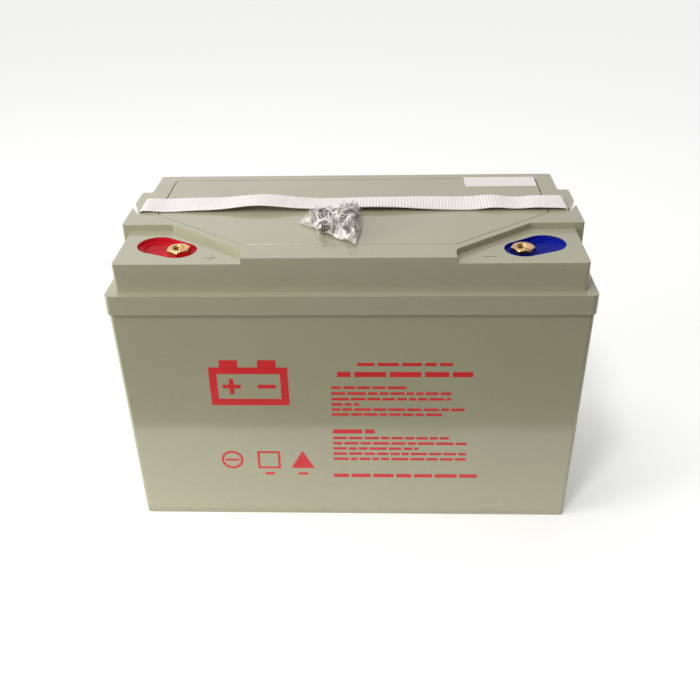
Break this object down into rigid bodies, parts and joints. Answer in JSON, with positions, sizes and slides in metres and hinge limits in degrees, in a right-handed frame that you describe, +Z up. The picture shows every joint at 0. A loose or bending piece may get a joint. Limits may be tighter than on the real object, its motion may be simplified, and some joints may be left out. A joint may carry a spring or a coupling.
{
  "type": "deep cycle battery",
  "caption": "Sealed gel deep-cycle storage battery for a caravan's leisure circuit, with threaded terminals, a webbing carrying strap and a bag of terminal bolts.",
  "frame": {"origin": "middle of the case's base, on the surface it stands on", "axes": "+X along the case towards the negative terminal, -Y towards the terminal side, +Z up"},
  "size_m": [0.33, 0.1722, 0.23],
  "materials": {
    "case_plastic": "semi-gloss moulded ABS, grey with a green cast",
    "lid_plastic": "semi-gloss moulded ABS, grey with a green cast",
    "black_rubber": "matt",
    "positive_paste": "dark brown lead-dioxide paste on a lead grid",
    "negative_paste": "grey spongy lead paste on a lead grid",
    "glass_mat": "felted glass fibre",
    "cast_lead": "dull cast lead",
    "machined_brass": "machined",
    "red_resin": "poured glossy epoxy",
    "blue_resin": "poured glossy epoxy",
    "webbing": "ribbed woven webbing",
    "zinc_steel": "zinc plated",
    "white_paper": "coated paper",
    "clear_film": "thin clear film"
  },
  "bodies": {
    "battery": {"container": "case_plastic", "cover": "lid_plastic", "vent_cover_plate": "lid_plastic", "positive_plates_1": "positive_paste", "negative_plates_1": "negative_paste", "separator_1": "glass_mat", "positive_plates_2": "positive_paste", "negative_plates_2": "negative_paste", "separator_2": "glass_mat", "positive_plates_3": "positive_paste", "negative_plates_3": "negative_paste", "separator_3": "glass_mat", "positive_plates_4": "positive_paste", "negative_plates_4": "negative_paste", "separator_4": "glass_mat", "positive_plates_5": "positive_paste", "negative_plates_5": "negative_paste", "separator_5": "glass_mat", "positive_plates_6": "positive_paste", "negative_plates_6": "negative_paste", "separator_6": "glass_mat", "intercell_link_1": "cast_lead", "intercell_link_2": "cast_lead", "intercell_link_3": "cast_lead", "intercell_link_4": "cast_lead", "intercell_link_5": "cast_lead", "terminal_positive": "machined_brass", "lead_post_positive": "cast_lead", "post_seal_ring_positive": "black_rubber", "resin_seal_positive": "red_resin", "terminal_negative": "machined_brass", "lead_post_negative": "cast_lead", "post_seal_ring_negative": "black_rubber", "resin_seal_negative": "blue_resin", "strap_end_left": "webbing", "strap_end_right": "webbing", "strap_pin_left": "zinc_steel", "strap_pin_right": "zinc_steel", "label_sticker": "white_paper"},
    "strap": {"strap_middle": "webbing"},
    "bolt_bag": {"accessory_bag": "clear_film", "hex_bolt_1": "zinc_steel", "hex_bolt_2": "zinc_steel", "flat_washer_1": "zinc_steel", "flat_washer_2": "zinc_steel", "spring_washer_1": "zinc_steel", "spring_washer_2": "zinc_steel"},
    "vent_cap_1": {"vent_cap_1": "black_rubber"},
    "vent_cap_2": {"vent_cap_2": "black_rubber"},
    "vent_cap_3": {"vent_cap_3": "black_rubber"},
    "vent_cap_4": {"vent_cap_4": "black_rubber"},
    "vent_cap_5": {"vent_cap_5": "black_rubber"},
    "vent_cap_6": {"vent_cap_6": "black_rubber"}
  },
  "joints": [
    {"name": "strap_lift", "type": "slide", "parent": "battery", "child": "strap", "axis": [0, 0, 1], "range_m": [0, 0.045]},
    {"name": "bag_lift", "type": "slide", "parent": "battery", "child": "bolt_bag", "axis": [0, 0, 1], "range_m": [0, 0.12]},
    {"name": "vent_cap_1_lift", "type": "slide", "parent": "battery", "child": "vent_cap_1", "axis": [0, 0, 1], "range_m": [0, 0.0008], "stiffness_N_per_m": 20},
    {"name": "vent_cap_2_lift", "type": "slide", "parent": "battery", "child": "vent_cap_2", "axis": [0, 0, 1], "range_m": [0, 0.0008], "stiffness_N_per_m": 20},
    {"name": "vent_cap_3_lift", "type": "slide", "parent": "battery", "child": "vent_cap_3", "axis": [0, 0, 1], "range_m": [0, 0.0008], "stiffness_N_per_m": 20},
    {"name": "vent_cap_4_lift", "type": "slide", "parent": "battery", "child": "vent_cap_4", "axis": [0, 0, 1], "range_m": [0, 0.0008], "stiffness_N_per_m": 20},
    {"name": "vent_cap_5_lift", "type": "slide", "parent": "battery", "child": "vent_cap_5", "axis": [0, 0, 1], "range_m": [0, 0.0008], "stiffness_N_per_m": 20},
    {"name": "vent_cap_6_lift", "type": "slide", "parent": "battery", "child": "vent_cap_6", "axis": [0, 0, 1], "range_m": [0, 0.0008], "stiffness_N_per_m": 20}
  ]
}
